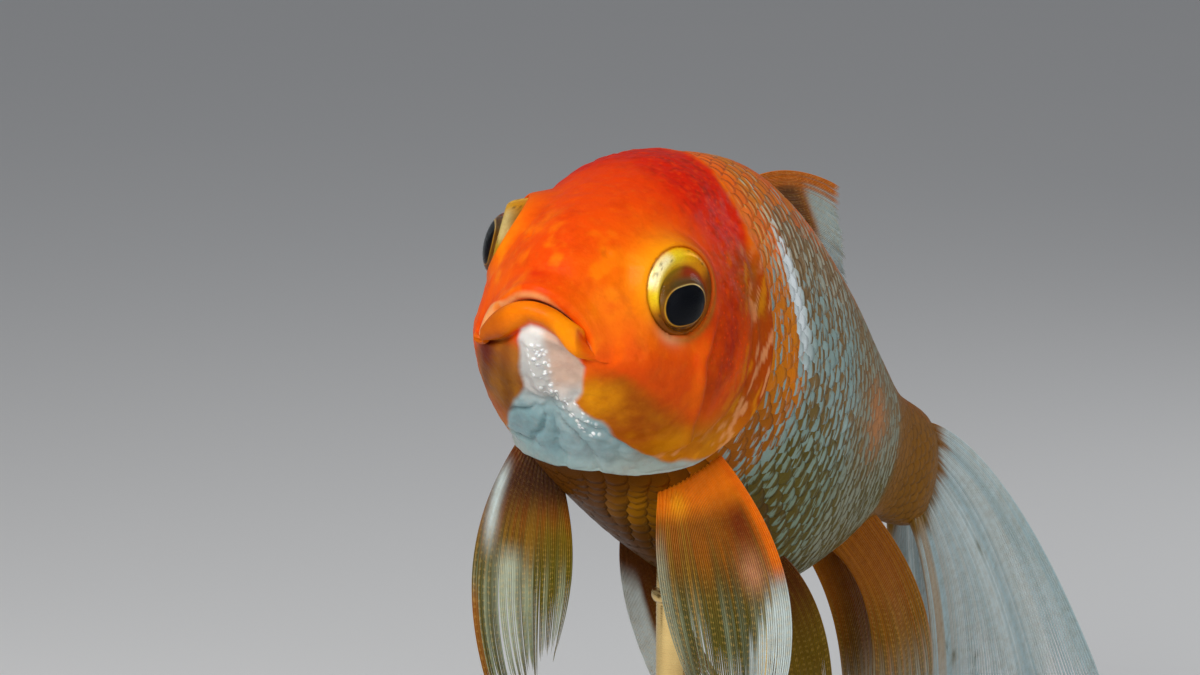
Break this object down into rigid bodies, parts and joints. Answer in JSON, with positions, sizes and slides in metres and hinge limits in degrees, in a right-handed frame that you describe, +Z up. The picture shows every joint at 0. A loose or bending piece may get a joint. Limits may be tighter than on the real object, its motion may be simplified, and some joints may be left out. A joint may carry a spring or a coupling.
{
  "type": "goldfish display model",
  "caption": "Life-size still model of a long-finned fancy goldfish, nose raised and fins hanging, on a flat oval stand with rods.",
  "frame": {"origin": "centre of the whole model's box, at the underside of the stand's base", "axes": "+Z up, the fish heads towards -Y with its left side towards +X"},
  "size_m": [0.086, 0.141, 0.123],
  "materials": {
    "skin_head": "wet bare skin, bright orange with a red rear edge and a white throat",
    "skin_body": "wet scales, orange back fading to white and olive-gold flanks",
    "fin_membrane": "ribbed thin membrane, orange-brown with white edges",
    "tail_membrane": "ribbed thin membrane, milky white with an orange root",
    "eye": "clear glossy cornea over a gold iris and black pupil",
    "stand_wood": "dark stained and satin lacquered",
    "stand_metal": "brushed"
  },
  "bodies": {
    "root": {"head": "skin_head", "lower_jaw": "skin_head", "gill_cover_left": "skin_head", "gill_cover_right": "skin_head", "trunk": "skin_body", "tail_stalk": "skin_body", "eye_left": "eye", "eye_right": "eye", "fin_dorsal": "fin_membrane", "fin_pectoral_left": "fin_membrane", "fin_pectoral_right": "fin_membrane", "fin_pelvic_left": "fin_membrane", "fin_pelvic_right": "fin_membrane", "fin_anal_left": "fin_membrane", "fin_anal_right": "fin_membrane", "fin_tail_left": "tail_membrane", "fin_tail_right": "tail_membrane", "stand_base": "stand_wood", "stand_rod_front": "stand_metal", "stand_rod_rear": "stand_metal"}
  },
  "joints": []
}
